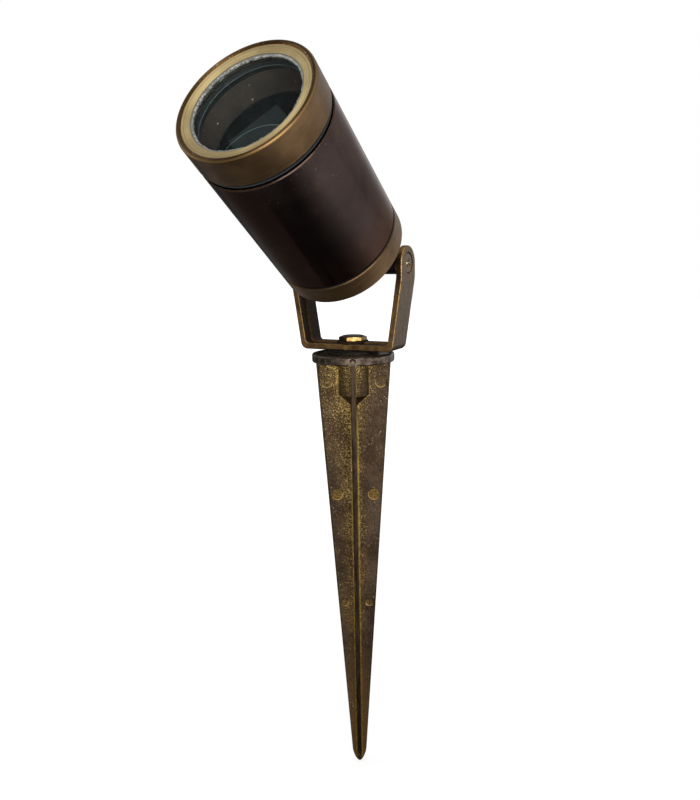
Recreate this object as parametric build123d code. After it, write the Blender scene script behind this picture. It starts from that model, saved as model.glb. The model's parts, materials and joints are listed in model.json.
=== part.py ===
from build123d import *
import os
from math import cos, radians, sqrt, tan

# Garden spike spotlight in patinated brass. Millimetres, +Z up. The origin is on the spike's axis, at the
# underside of its flange, which is level with the ground. The pivot of the head runs along X. The head is
# built upright about its own pivot and then tilted towards -Y. Depths in the head run back from its rim.

# ---- Lamp: the head is built round it ----
lamp_radius = 25.0
lamp_play = 0.9
lamp_length = 54.0
lamp_rim = 5.5
lamp_rim_wall = 0.8
lamp_cone_length = 30.0
lamp_neck_radius = 16.0
lamp_base_radius = 13.4
lamp_window_thickness = 1.2
pin_pitch = 10.0
pin_radius = 1.5
pin_head_radius = 2.4
pin_head_length = 1.6
pin_length = 6.5
pin_play = 0.2

# ---- Head: walls, and lengths along its axis ----
throat_wall = 1.1
bezel_wall = 4.5
bezel_length = 14.5
front_gap = 2.6
tube_length = 70.0
rear_gap = 1.3
cap_length = 11.7
cap_floor = 4.5
pivot_gap = 12.5
rest_tilt = 54.1

# ---- Bezel, glass and their seals ----
bezel_round = 1.2
bezel_land = 0.3
rim_wall = 2.45
rim_slope = 0.9
ring_width = 3.7
ring_recess = 0.7
ring_dish = 0.8
lip_thickness = 1.4
glass_thickness = 4.0
glass_play = 0.3
gasket_thickness = 1.15
bead_width = 1.3
bead_top = 0.1
bead_edge = 0.7
oring_setback = 0.8
oring_play = 0.1
oring_round = 0.9

# ---- Tube ----
spigot_land = 0.8
lip_reach = 2.1
lip_slope = 1.35
throat_slope = 2.6
throat_length = 18.7
tube_wall = 3.0
edge_bevel = 0.4
seal_bevel = 0.2
slide_play = 0.15
seat_play = 0.05

# ---- Rear cap and its lugs ----
cap_round = 1.2
cap_spigot_length = 6.0
cap_spigot_wall = 3.0
seal_setback = 0.5
lug_gap = 0.5
lug_thickness = 5.5
lug_width = 11.0
lug_root = 1.5

# ---- Pivot screws and spacers ----
screw_radius = 2.5
screw_spare = 2.45
screw_head_radius = 5.0
screw_head_height = 1.7
screw_slot = 1.1
screw_slot_depth = 1.2
screw_slot_span = 5.6
pan_rounding = 0.33
spacer_radius = 5.5
pivot_play = 0.06
face_play = 0.05
thread_play = 0.03

# ---- Yoke ----
arm_setback = 0.3
arm_height = 43.65
arm_flare = 8.5
ear_drop = 7.2
bend_round = 18.0
strap_width = 17.0
strap_thickness = 3.2
strap_bevel = 0.6
outer_corner = 3.8
inner_corner = 2.2
rib_width = 5.8
rib_height = 0.9
bolt_boss_radius = 8.0
bolt_boss_height = 1.25
ear_boss_radius = 6.6
ear_boss_height = 1.3
counterbore_depth = 2.0
counterbore_play = 0.35
casting_mark_radius = 1.3
casting_mark_height = 0.15

# ---- Swivel bolt and washer ----
bolt_radius = 4.0
bolt_length = 22.0
bolt_head_flats = 12.7
bolt_head_height = 2.55
bolt_head_bevel = 0.8
bolt_head_land = 1.2
bolt_turn = 2.0
bolt_collar = 0.25
swivel_play = 0.08
washer_radius = 13.2
washer_thickness = 1.0

# ---- Spike ----
spike_turn = 26.0
flange_radius = 21.4
flange_thickness = 4.4
flange_round = 0.8
flange_land = 2.2
flange_groove = 0.8
flange_boss_radius = 13.6
flange_boss_rise = 0.9
spike_length = 230.85
fin_half_width = 19.5
fin_taper = 4.0
fin_thickness = 2.4
fin_bevel = 0.4
fin_root = 2.3
fin_root_tip = 1.3
tip_length = 7.9
tip_bluntness = 0.6
socket_radius = 8.1
socket_length = 17.6
socket_cone = 5.6
socket_end_radius = 2.0
bolt_hole_spare = 2.0
arch_radius = 1.9
arch_rise = 0.8
arch_depth = 0.4
mark_height = 0.35

# ---- Lamp holder and its bracket ----
holder_radius = 12.6
holder_length = 13.0
bracket_width = 12.0
bracket_sheet = 1.0
bracket_rise = 4.1
bracket_half = 13.0
bracket_foot = 8.0
small_screw_radius = 1.5
small_screw_head_radius = 2.8
small_screw_head_height = 1.8
holder_screw_offset = 9.0
holder_screw_grip = 6.0
floor_screw_grip = 3.4

# ---- Terminal block, leads and earth screw ----
block_width = 16.0
block_height = 12.0
block_round = 0.8
block_play = 0.6
holder_gap = 1.9
clamp_screw_radius = 1.7
clamp_screw_length = 2.5
lead_radius = 1.2
lead_gap = 0.5
lead_rise = 3.4
lead_bend = 2.4
lead_grip = 2.0
earth_offset = 16.5
earth_radius = 2.0
earth_head_radius = 4.0
earth_head_height = 2.6

# ---- Cable gland ----
gland_radius = 8.0
gland_flats = 18.0
gland_washer_thickness = 1.2
gland_body_height = 5.0
gland_stub = 1.0
gland_sleeve_radius = 7.0
gland_sleeve_length = 5.5
gland_nut_length = 9.0
gland_sleeve_gap = 1.0
gland_nut_round = 2.5
gland_mouth_radius = 5.0
gland_bore_radius = 5.6
cable_bore_radius = 4.1
gland_seal_length = 10.0

# ---- Places worked out from the sizes above ----
hex_corner = 1 / cos(radians(30))
throat_radius = lamp_radius + lamp_play
spigot_radius = throat_radius + throat_wall
lip_radius = spigot_radius - lip_reach
bezel_bore = spigot_radius + slide_play
head_radius = bezel_bore + bezel_wall
ring_radius = head_radius - rim_wall
opening_radius = ring_radius - ring_width
oring_radius = head_radius - oring_setback
lamp_window_radius = lamp_radius - lamp_rim_wall

tube_front = bezel_length + front_gap
cap_joint = tube_front + tube_length
cap_front = cap_joint + rear_gap
head_length = cap_front + cap_length
floor_depth = head_length - cap_floor
opening_depth = ring_recess + ring_dish
lip_back = opening_depth + lip_thickness
glass_back = lip_back + glass_thickness
spigot_front = glass_back + gasket_thickness
glass_radius = bezel_bore - glass_play
tube_bore = head_radius - tube_wall
cap_spigot_radius = tube_bore - seat_play
cavity_radius = cap_spigot_radius - cap_spigot_wall

bracket_depth = floor_depth - bracket_rise - bracket_sheet
holder_depth = bracket_depth - holder_length
lamp_depth = holder_depth - lamp_length

block_face = holder_radius + holder_gap
block_reach = sqrt((cavity_radius - block_play)**2 - (block_width / 2)**2)
block_depth = block_reach - block_face
block_offset = (block_reach + block_face) / 2
lead_offset = small_screw_head_radius + lead_gap + lead_radius
lead_start = sqrt(holder_radius**2 - lead_offset**2) - lead_grip

gland_top = pivot_gap - gland_washer_thickness
gland_shoulder = gland_top - gland_body_height
gland_end = gland_shoulder - gland_nut_length
gland_wall = gland_nut_length - gland_sleeve_length - gland_sleeve_gap

boss_top = flange_thickness + flange_boss_rise
yoke_base = boss_top + washer_thickness
pivot_height = yoke_base + arm_height
strap_top = yoke_base + strap_thickness
bolt_seat = strap_top + bolt_boss_height
ear_radius = strap_width / 2
yoke_half = head_radius - arm_setback
counterbore_floor = yoke_half - counterbore_depth
bend_height = pivot_height - ear_drop
ear_face = yoke_half - strap_thickness - ear_boss_height
lug_inner = gland_flats / 2 * hex_corner + lug_gap
lug_outer = lug_inner + lug_thickness

overlap = 0.5
close_enough = 1e-4


def at_depth(depth):
    """Height, in the upright head's frame, of a plane this far behind the front rim."""
    return head_length + pivot_gap - depth


def turned(corners):
    """A body of revolution about Z from its (radius, height) corners."""
    return revolve(Plane.XZ * make_face(Polyline(*corners, close=True)), Axis.Z)


def turned_at_depth(corners):
    """A body of revolution of the head from its (radius, depth) corners."""
    return turned([(radius, at_depth(depth)) for radius, depth in corners])


def disc(radius, low, high, inner=0.0):
    """A disc about Z between two heights, or a ring where an inner radius is given."""
    solid = Pos(0, 0, low) * Cylinder(radius, high - low, align=(Align.CENTER, Align.CENTER, Align.MIN))
    if inner > 0:
        solid -= Pos(0, 0, low) * Cylinder(inner, high - low, align=(Align.CENTER, Align.CENTER, Align.MIN))
    return solid


def cross_pin(radius, start, end, height=0.0):
    """A round bar along X between two places."""
    return Pos((start + end) / 2, 0, height) * Rot(0, 90, 0) * Cylinder(radius, abs(end - start))


def hexagon(flats, low, high):
    """A hexagonal prism about Z, given its width across flats."""
    side = extrude(RegularPolygon(flats / 2, 6, major_radius=False, rotation=30), high - low)
    return Pos(0, 0, low) * side


def circles(solid, radius, height):
    """The circular edges of a solid that lie about Z at one radius and height."""
    found = []
    for edge in solid.edges().filter_by(GeomType.CIRCLE):
        centre = edge.arc_center
        if abs(edge.radius - radius) < close_enough and abs(centre.Z - height) < close_enough:
            found.append(edge)
    return found


# ---- Bezel group ----
def bezel_ring():
    ring = turned_at_depth([
        (opening_radius, opening_depth),
        (ring_radius, ring_recess),
        (ring_radius + rim_slope, 0),
        (head_radius, 0),
        (head_radius, bezel_length),
        (bezel_bore, bezel_length),
        (bezel_bore, lip_back),
        (opening_radius, lip_back),
    ])
    rounding = min(bezel_round, rim_wall - rim_slope - bezel_land)
    ring = fillet(circles(ring, head_radius, at_depth(0)), rounding)
    ring = chamfer(circles(ring, head_radius, at_depth(bezel_length)), edge_bevel)
    return ring


def lens_sealant():
    """A wedge-shaped bead in the corner between the opening and the glass."""
    outer = opening_radius - seat_play
    return turned_at_depth([
        (outer, lip_back),
        (outer, opening_depth + bead_top),
        (outer - bead_width, lip_back - bead_edge),
        (outer - bead_width, lip_back),
    ])


def lens_glass():
    return disc(glass_radius, at_depth(glass_back), at_depth(lip_back))


def lens_gasket():
    inner = spigot_radius - spigot_land
    return disc(glass_radius, at_depth(spigot_front) + face_play, at_depth(glass_back), inner)


# ---- Tube and the seals at its ends ----
def main_tube():
    throat_front = spigot_front + lip_slope + throat_slope
    throat_back = throat_front + throat_length
    tube = turned_at_depth([
        (spigot_radius, spigot_front),
        (spigot_radius, tube_front),
        (head_radius, tube_front),
        (head_radius, cap_joint),
        (tube_bore, cap_joint),
        (tube_bore, throat_back + tube_bore - throat_radius),
        (throat_radius, throat_back),
        (throat_radius, throat_front),
        (lip_radius, spigot_front + lip_slope),
        (spigot_radius - spigot_land, spigot_front),
    ])
    tube = chamfer(circles(tube, head_radius, at_depth(tube_front)), edge_bevel)
    tube = chamfer(circles(tube, head_radius, at_depth(cap_joint)), seal_bevel)
    return tube


def front_oring():
    inner = spigot_radius + oring_play
    low = at_depth(tube_front)
    high = at_depth(bezel_length) - face_play
    ring = disc(oring_radius, low, high, inner)
    return fillet(circles(ring, oring_radius, low) + circles(ring, oring_radius, high), oring_round)


def rear_seal():
    outer = head_radius - seal_setback
    return disc(outer, at_depth(cap_front), at_depth(cap_joint), cap_spigot_radius + oring_play)


# ---- Rear cap ----
def lug(side):
    """One ear of the cap, with its end rounded about the pivot."""
    middle = side * (lug_inner + lug_thickness / 2)
    plate = Pos(middle, 0, 0) * Box(
        lug_thickness, lug_width, pivot_gap + overlap, align=(Align.CENTER, Align.CENTER, Align.MIN)
    )
    return plate + cross_pin(lug_width / 2, side * lug_inner, side * lug_outer)


def rear_cap():
    cap = turned_at_depth([
        (0, floor_depth),
        (cavity_radius, floor_depth),
        (cavity_radius, cap_front - cap_spigot_length),
        (cap_spigot_radius, cap_front - cap_spigot_length),
        (cap_spigot_radius, cap_front),
        (head_radius, cap_front),
        (head_radius, head_length),
        (0, head_length),
    ])
    cap = fillet(circles(cap, head_radius, at_depth(head_length)), cap_round)
    cap = chamfer(circles(cap, head_radius, at_depth(cap_front)), edge_bevel)
    for side in (-1, 1):
        cap += lug(side)
    straight = cap.edges().filter_by(GeomType.LINE)
    roots = [edge for edge in straight if abs(edge.center().Z - pivot_gap) < close_enough]
    cap = fillet(roots, lug_root)
    thread = screw_radius + thread_play
    for side in (-1, 1):
        cap -= cross_pin(thread, side * (lug_inner - overlap), side * (lug_outer + overlap))
    cap -= disc(gland_radius, pivot_gap - overlap, at_depth(floor_depth) + overlap)
    for x, y in floor_screw_places():
        cap -= Pos(x, y, 0) * floor_hole(small_screw_radius)
    cap -= Pos(0, -earth_offset, 0) * floor_hole(earth_radius)
    return cap


def floor_screw_places():
    """Where the bracket's two screws and the terminal block's screw enter the floor of the cap."""
    foot = bracket_half + bracket_foot / 2
    return [(-foot, 0), (foot, 0), (0, block_offset)]


def floor_hole(radius):
    floor = at_depth(floor_depth)
    return disc(radius + thread_play, floor - floor_screw_grip - thread_play, floor + overlap)


# ---- Screws and pivot ----
def pan_screw(head_radius, head_height, shank_radius, grip):
    """A screw with a rounded head, head up, with the underside of its head at height zero."""
    head = disc(head_radius, 0, head_height)
    head = fillet(circles(head, head_radius, head_height), head_height * pan_rounding)
    return head + disc(shank_radius, -grip, 0)


def small_screw(grip):
    return pan_screw(small_screw_head_radius, small_screw_head_height, small_screw_radius, grip)


def pivot_screws():
    """The two screws that clamp the ears. Each has a cross recess in its head."""
    seat = counterbore_floor + face_play
    screw = pan_screw(screw_head_radius, screw_head_height, screw_radius, seat - lug_inner - screw_spare)
    recess = Box(screw_slot, screw_slot_span, screw_slot_depth)
    recess = Pos(0, 0, screw_head_height - screw_slot_depth / 2) * recess
    screw -= recess + Rot(0, 0, 90) * recess
    return Compound(children=[Rot(0, side * 90, 0) * Pos(0, 0, seat) * screw for side in (-1, 1)])


def pivot_spacers():
    hole = screw_radius + thread_play
    group = []
    for side in (-1, 1):
        spacer = cross_pin(spacer_radius, side * lug_outer, side * (ear_face - face_play))
        spacer -= cross_pin(hole, side * (lug_outer - overlap), side * (ear_face + overlap))
        group.append(spacer)
    return Compound(children=group)


# ---- Lamp and holder ----
def lamp_body():
    neck = lamp_depth + lamp_rim + lamp_cone_length
    body = turned_at_depth([
        (0, lamp_depth + lamp_window_thickness),
        (lamp_window_radius, lamp_depth + lamp_window_thickness),
        (lamp_window_radius, lamp_depth),
        (lamp_radius, lamp_depth),
        (lamp_radius, lamp_depth + lamp_rim),
        (lamp_neck_radius, neck),
        (lamp_base_radius, neck),
        (lamp_base_radius, holder_depth),
        (0, holder_depth),
    ])
    return body


def lamp_front():
    back = at_depth(lamp_depth + lamp_window_thickness)
    return disc(lamp_window_radius - seat_play, back, at_depth(lamp_depth))


def lamp_pins():
    """The two headed pins that lock into the holder."""
    base = at_depth(holder_depth)
    group = []
    for side in (-1, 1):
        pin = disc(pin_radius, base - pin_length, base)
        pin += disc(pin_head_radius, base - pin_length, base - pin_length + pin_head_length)
        group.append(Pos(0, side * pin_pitch / 2, 0) * pin)
    return Compound(children=group)


def lampholder():
    top = at_depth(holder_depth)
    foot = at_depth(bracket_depth)
    body = disc(holder_radius, foot, top)
    body = chamfer(circles(body, holder_radius, top), edge_bevel)
    socket = disc(pin_head_radius + pin_play, top - pin_length - pin_play, top + overlap)
    thread_end = foot + holder_screw_grip + thread_play
    thread = disc(small_screw_radius + thread_play, foot - overlap, thread_end)
    entry = Rot(-90, 0, 0) * disc(lead_radius + thread_play, 0, holder_radius)
    for side in (-1, 1):
        body -= Pos(0, side * pin_pitch / 2, 0) * socket
        body -= Pos(side * holder_screw_offset, 0, 0) * thread
        body -= Pos(side * lead_offset, lead_start - face_play, lead_level()) * entry
    return body


def holder_bracket():
    """A strip bent into a bridge: a plate under the holder, two legs and two feet on the cap's floor."""
    floor = at_depth(floor_depth)
    top = at_depth(bracket_depth)
    reach = bracket_half + bracket_foot
    bridge = Polyline(
        (-reach, floor),
        (-bracket_half, floor),
        (-bracket_half, top - bracket_sheet),
        (bracket_half, top - bracket_sheet),
        (bracket_half, floor),
        (reach, floor),
        (reach, floor + bracket_sheet),
        (bracket_half + bracket_sheet, floor + bracket_sheet),
        (bracket_half + bracket_sheet, top),
        (-bracket_half - bracket_sheet, top),
        (-bracket_half - bracket_sheet, floor + bracket_sheet),
        (-reach, floor + bracket_sheet),
        close=True,
    )
    strip = extrude(Plane.XZ * make_face(bridge), bracket_width / 2, both=True)
    foot = bracket_half + bracket_foot / 2
    for x in (-foot, foot, -holder_screw_offset, holder_screw_offset):
        strip -= Pos(x, 0, 0) * disc(small_screw_radius + thread_play, floor - overlap, top + overlap)
    return strip


def holder_screws():
    seat = at_depth(bracket_depth + bracket_sheet)
    group = []
    for side in (-1, 1):
        screw = Rot(180, 0, 0) * small_screw(bracket_sheet + holder_screw_grip)
        group.append(Pos(side * holder_screw_offset, 0, seat) * screw)
    return Compound(children=group)


def bracket_screws():
    seat = at_depth(floor_depth) + bracket_sheet
    foot = bracket_half + bracket_foot / 2
    grip = bracket_sheet + floor_screw_grip
    return Compound(children=[Pos(x, 0, seat) * small_screw(grip) for x in (-foot, foot)])


# ---- Terminal block, leads and earth ----
def lead_level():
    """Height at which the leads leave the holder, above the terminal block."""
    return at_depth(floor_depth) + block_height + lead_rise


def terminal_block():
    floor = at_depth(floor_depth)
    block = Pos(0, block_offset, floor) * Box(
        block_width, block_depth, block_height, align=(Align.CENTER, Align.CENTER, Align.MIN)
    )
    block = fillet(block.edges().filter_by(Axis.Z), block_round)
    block -= Pos(0, block_offset, 0) * disc(
        small_screw_radius + thread_play, floor - overlap, floor + block_height + overlap
    )
    for side in (-1, 1):
        clamp = Rot(-90, 0, 0) * disc(clamp_screw_radius + thread_play, 0, block_depth / 2 + overlap)
        clamp_height = floor + block_height / 2
        block -= Pos(side * lead_offset, block_reach - clamp_screw_length, clamp_height) * clamp
    return block


def block_screws():
    """The screw that holds the block to the floor, and its two wire clamps."""
    floor = at_depth(floor_depth)
    fixing = Pos(0, block_offset, floor + block_height) * small_screw(block_height + floor_screw_grip)
    clamp = Rot(-90, 0, 0) * disc(clamp_screw_radius, 0, clamp_screw_length)
    clamp = Pos(0, block_reach - clamp_screw_length, floor + block_height / 2) * clamp
    group = [fixing]
    for side in (-1, 1):
        group.append(Pos(side * lead_offset, 0, 0) * clamp)
    return Compound(children=group)


def holder_leads():
    """Two sleeved leads that leave the holder sideways and bend down to the block."""
    level = lead_level()
    block_top = level - lead_rise
    group = []
    for side in (-1, 1):
        x = side * lead_offset
        route = FilletPolyline(
            (x, lead_start, level), (x, block_offset, level), (x, block_offset, block_top), radius=lead_bend
        )
        section = Plane(origin=(x, lead_start, level), z_dir=(0, 1, 0)) * Circle(lead_radius)
        group.append(sweep(section, path=route))
    return Compound(children=group)


def earth_screw():
    screw = pan_screw(earth_head_radius, earth_head_height, earth_radius, floor_screw_grip)
    return Pos(0, -earth_offset, at_depth(floor_depth)) * screw


# ---- Cable gland ----
def gland_washer():
    return disc(gland_flats / 2 + overlap, gland_top, pivot_gap, gland_radius + thread_play)


def gland_body():
    body = hexagon(gland_flats, gland_shoulder, gland_top)
    body += disc(gland_radius - thread_play, gland_top, at_depth(floor_depth) + gland_stub)
    body += disc(gland_sleeve_radius, gland_shoulder - gland_sleeve_length, gland_shoulder)
    body -= disc(gland_bore_radius, gland_end, at_depth(floor_depth) + gland_stub + overlap)
    return body


def gland_nut():
    nut = hexagon(gland_flats, gland_end, gland_shoulder)
    corner = gland_flats / 2 * hex_corner + face_play
    nut &= fillet(circles(disc(corner, gland_end, gland_shoulder), corner, gland_end), gland_nut_round)
    nut -= disc(gland_mouth_radius, gland_end - overlap, gland_shoulder + overlap)
    nut -= disc(gland_sleeve_radius + thread_play, gland_end + gland_wall, gland_shoulder + overlap)
    return nut


def gland_seal():
    low = gland_end + gland_wall
    return disc(gland_bore_radius - thread_play, low, low + gland_seal_length, cable_bore_radius)


# ---- Yoke ----
def arm_outside(height):
    """Half of the yoke's outer width at one height: upright beside the ears, drawn in below the bend."""
    return yoke_half - max(0, bend_height - height) * tan(radians(arm_flare))


def yoke_outline(inset, corner, rise):
    """The yoke's outer shape seen from the front, drawn in by the inset, with its corners rounded."""
    low = yoke_base + inset
    foot = arm_outside(low) - inset / cos(radians(arm_flare))
    bend = bend_height + inset * tan(radians(arm_flare / 2))
    ear = yoke_half - inset
    high = pivot_height + ear_radius + rise
    shape = make_face(Polyline(
        (-ear, high),
        (-ear, bend),
        (-foot, low),
        (foot, low),
        (ear, bend),
        (ear, high),
        close=True,
    ))
    shape = fillet(shape.vertices().sort_by(Axis.Y)[2:4], bend_round - inset)
    return fillet(shape.vertices().sort_by(Axis.Y)[:2], corner)


def yoke_strap(inset, thickness, outer, inner, width):
    """A strap bent along the yoke's outline, between two insets."""
    shape = yoke_outline(inset, outer, overlap) - yoke_outline(inset + thickness, inner, 2 * overlap)
    return extrude(Plane.XZ * shape, width / 2, both=True)


def ear_shape(radius):
    """The strap's side view, straight up to the pivot with a round end, as a bar along X."""
    reach = 2 * yoke_half + 2 * ear_radius
    straight = Pos(0, 0, yoke_base - overlap) * Box(
        reach, 2 * radius, arm_height + overlap, align=(Align.CENTER, Align.CENTER, Align.MIN)
    )
    return straight + cross_pin(radius, -reach / 2, reach / 2, pivot_height)


def yoke():
    strap = yoke_strap(0, strap_thickness, outer_corner, inner_corner, strap_width)
    bracket = strap & ear_shape(ear_radius)
    faces = bracket.faces().filter_by(Axis.Y)
    front = faces.sort_by(Axis.Y)[0]
    back = faces.sort_by(Axis.Y)[-1]
    bracket = fillet(front.edges() + back.edges(), strap_bevel)
    rib = yoke_strap(strap_thickness - overlap, rib_height + overlap, inner_corner, inner_corner, rib_width)
    below_pivot = Pos(0, 0, pivot_height) * Box(
        2 * yoke_half, strap_width, 2 * arm_height, align=(Align.CENTER, Align.CENTER, Align.MAX)
    )
    bracket += rib & below_pivot
    bracket += disc(bolt_boss_radius, strap_top - overlap, bolt_seat)
    for side in (-1, 1):
        bracket += cross_pin(ear_boss_radius, side * ear_face, side * counterbore_floor, pivot_height)
        bracket -= cross_pin(ear_boss_radius, side * lug_outer, side * ear_face, pivot_height)
    mark = Rot(90, 0, 0) * disc(casting_mark_radius, 0, ear_radius + casting_mark_height)
    bracket += Pos(0, 0, yoke_base + strap_thickness / 2) * mark
    bracket -= disc(bolt_radius + swivel_play, yoke_base - overlap, bolt_seat + overlap)
    hole = screw_radius + pivot_play
    counterbore = screw_head_radius + counterbore_play
    outside = yoke_half + overlap
    for side in (-1, 1):
        bracket -= cross_pin(hole, side * (ear_face - overlap), side * outside, pivot_height)
        bracket -= cross_pin(counterbore, side * counterbore_floor, side * outside, pivot_height)
    return bracket


# ---- Bolt, washer and spike ----
def swivel_bolt():
    seat = bolt_seat + face_play
    top = seat + bolt_head_height
    head = hexagon(bolt_head_flats, seat + bolt_collar, top)
    corner = bolt_head_flats / 2 * hex_corner
    head &= turned([
        (0, seat),
        (corner, seat),
        (corner, top - bolt_head_bevel),
        (bolt_head_flats / 2 - bolt_head_land, top),
        (0, top),
    ])
    head += disc(bolt_head_flats / 2 - bolt_collar, seat, seat + bolt_collar)
    return Rot(0, 0, bolt_turn) * head + disc(bolt_radius, seat - bolt_length, seat)


def swivel_washer():
    return disc(washer_radius, boss_top, yoke_base - face_play, bolt_radius + swivel_play)


def fin_edge(height):
    """Distance of a fin's outer edge from the axis at one height, above the tip."""
    return fin_half_width + height * tan(radians(fin_taper))


def fin_outline():
    """One crossed pair of fins seen face on: straight tapered edges that run into a rounded tip."""
    shoulder = tip_length - spike_length
    lean = tan(radians(fin_taper))
    right = Line((fin_half_width, 0), (fin_edge(shoulder), shoulder))
    right_tip = Spline(
        (fin_edge(shoulder), shoulder),
        (0, -spike_length),
        tangents=[(-lean, -1), (-1, 0)],
        tangent_scalars=[1, tip_bluntness],
    )
    left_tip = mirror(right_tip, Plane.YZ)
    left = mirror(right, Plane.YZ)
    top = Line((-fin_half_width, 0), (fin_half_width, 0))
    return make_face([top, right, right_tip, left_tip, left])


def fin_pair():
    """Two opposite fins as one plate, with their long edges bevelled."""
    plate = extrude(Plane.XZ * fin_outline(), fin_thickness / 2, both=True)
    long_edges = []
    for face in plate.faces().filter_by(Axis.Y):
        long_edges += [edge for edge in face.edges() if edge.center().Z < -close_enough]
    return chamfer(long_edges, fin_bevel)


def fin_root_core():
    """A four-sided core along the axis that thickens the corners where the fins meet."""
    wide = Rot(0, 0, 45) * Rectangle(2 * fin_root, 2 * fin_root)
    narrow = Rot(0, 0, 45) * Rectangle(2 * fin_root_tip, 2 * fin_root_tip)
    return loft([wide, Pos(0, 0, tip_length - spike_length) * narrow])


def spike_flange():
    flange = disc(flange_radius, 0, flange_thickness)
    rims = circles(flange, flange_radius, 0) + circles(flange, flange_radius, flange_thickness)
    flange = fillet(rims, flange_round)
    groove_floor = flange_thickness - flange_groove
    flange -= disc(flange_radius - flange_land, groove_floor, flange_thickness + overlap)
    flange += disc(flange_boss_radius, groove_floor - overlap, boss_top)
    return flange


def rim_arch():
    """The small arched hollow in the flange's rim above the front fin."""
    crown = flange_thickness / 2 + arch_rise - arch_radius / 2
    inner = flange_radius - arch_depth
    outer = flange_radius + overlap
    bar = Pos(0, 0, crown) * Rot(90, 0, 0) * disc(arch_radius, inner, outer)
    slot = Box(2 * arch_radius, outer - inner, crown + overlap)
    return bar + Pos(0, -(inner + outer) / 2, (crown - overlap) / 2) * slot


def fin_marks():
    """Round casting marks on the side fins' fronts: height, distance in from the edge, radius, raised."""
    return [(-11.0, 4.6, 3.0, False), (-72.0, 4.6, 3.0, True), (-134.0, 3.5, 2.0, True)]


def spike():
    body = fin_pair() + Rot(0, 0, 90) * fin_pair() + fin_root_core()
    body += turned([
        (0, 0),
        (socket_radius, 0),
        (socket_radius, -socket_length),
        (socket_end_radius, -socket_length - socket_cone),
        (0, -socket_length - socket_cone),
    ])
    body += spike_flange()
    body -= rim_arch()
    face = fin_thickness / 2
    for height, margin, radius, raised in fin_marks():
        offset = fin_edge(height) - margin
        for side in (-1, 1):
            place = Pos(side * offset, 0, height) * Rot(90, 0, 0)
            if raised:
                body += place * disc(radius, 0, face + mark_height)
            else:
                body -= place * disc(radius, face - mark_height, face + overlap)
    depth = bolt_seat + face_play - bolt_length - bolt_hole_spare
    body -= disc(bolt_radius + thread_play, depth, boss_top + overlap)
    return Rot(0, 0, spike_turn) * body


def in_head(solid):
    """Tilts a piece of the upright head into its place at rest."""
    return Pos(0, 0, pivot_height) * Rot(rest_tilt, 0, 0) * solid


ground_pieces = [spike, swivel_bolt, swivel_washer, yoke]
head_pieces = [
    bezel_ring, lens_sealant, lens_glass, lens_gasket,
    main_tube, front_oring, rear_seal, rear_cap, pivot_screws, pivot_spacers,
    lamp_body, lamp_front, lamp_pins, lampholder, holder_bracket, holder_screws, bracket_screws,
    terminal_block, block_screws, holder_leads, earth_screw,
    gland_washer, gland_body, gland_nut, gland_seal,
]

os.makedirs("parts", exist_ok=True)
for piece in ground_pieces:
    export_step(piece(), f"parts/{piece.__name__}.step")
for piece in head_pieces:
    export_step(in_head(piece()), f"parts/{piece.__name__}.step")
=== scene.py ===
import json
import math
import random
import bpy
from mathutils import Matrix, Vector


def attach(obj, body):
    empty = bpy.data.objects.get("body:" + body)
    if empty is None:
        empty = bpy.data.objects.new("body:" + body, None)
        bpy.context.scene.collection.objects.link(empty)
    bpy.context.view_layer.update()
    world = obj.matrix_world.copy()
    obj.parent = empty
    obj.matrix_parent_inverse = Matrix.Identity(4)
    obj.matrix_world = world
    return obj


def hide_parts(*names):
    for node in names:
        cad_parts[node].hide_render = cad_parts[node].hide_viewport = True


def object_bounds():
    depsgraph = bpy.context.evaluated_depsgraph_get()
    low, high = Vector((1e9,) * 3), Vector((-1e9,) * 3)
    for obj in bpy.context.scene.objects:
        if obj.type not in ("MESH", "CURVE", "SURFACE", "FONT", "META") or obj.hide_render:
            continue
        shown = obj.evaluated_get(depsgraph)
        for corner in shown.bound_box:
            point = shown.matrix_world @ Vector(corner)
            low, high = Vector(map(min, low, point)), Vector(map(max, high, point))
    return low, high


# Looks of the garden spike spotlight, in metres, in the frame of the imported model. The upright head's
# frame has the pivot at its origin and the head's axis, out through its front, as its Z axis. The places
# of the head's parts are measured in it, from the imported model.

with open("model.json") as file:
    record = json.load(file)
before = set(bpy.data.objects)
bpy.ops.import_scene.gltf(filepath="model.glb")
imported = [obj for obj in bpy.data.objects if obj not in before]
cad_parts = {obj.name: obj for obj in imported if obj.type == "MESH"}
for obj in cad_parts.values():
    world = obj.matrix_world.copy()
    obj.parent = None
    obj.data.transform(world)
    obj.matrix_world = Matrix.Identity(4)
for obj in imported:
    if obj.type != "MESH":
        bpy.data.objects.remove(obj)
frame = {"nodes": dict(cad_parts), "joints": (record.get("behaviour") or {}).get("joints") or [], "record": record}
cad_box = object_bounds()
nodes = frame["nodes"]
joints = {joint["name"]: joint for joint in frame["joints"]}

MM = 0.001
PIVOT = Vector(joints["head_tilt"]["pos_m"])
ALONG = Vector(joints["bezel_unscrew"]["axis"]).normalized()
TILT = math.atan2(-ALONG.y, ALONG.z)
UPRIGHT = Matrix.Rotation(-TILT, 4, "X") @ Matrix.Translation(-PIVOT)


def head_corners(node):
    """(least radius, greatest radius, lowest, highest) of a node in the upright head's frame."""
    points = [UPRIGHT @ vertex.co for vertex in nodes[node].data.vertices]
    radii = [math.hypot(point.x, point.y) for point in points]
    heights = [point.z for point in points]
    return min(radii), max(radii), min(heights), max(heights)


OPENING_RADIUS, HEAD_RADIUS, _, RIM = head_corners("bezel_ring")
GLASS_FRONT = head_corners("lens_glass")[3]
CAP_FRONT, TUBE_BACK = head_corners("rear_seal")[2:]
TUBE_FRONT, BEZEL_BACK = head_corners("front_oring")[2:]
SPIGOT_FRONT = head_corners("main_tube")[3]


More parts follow.
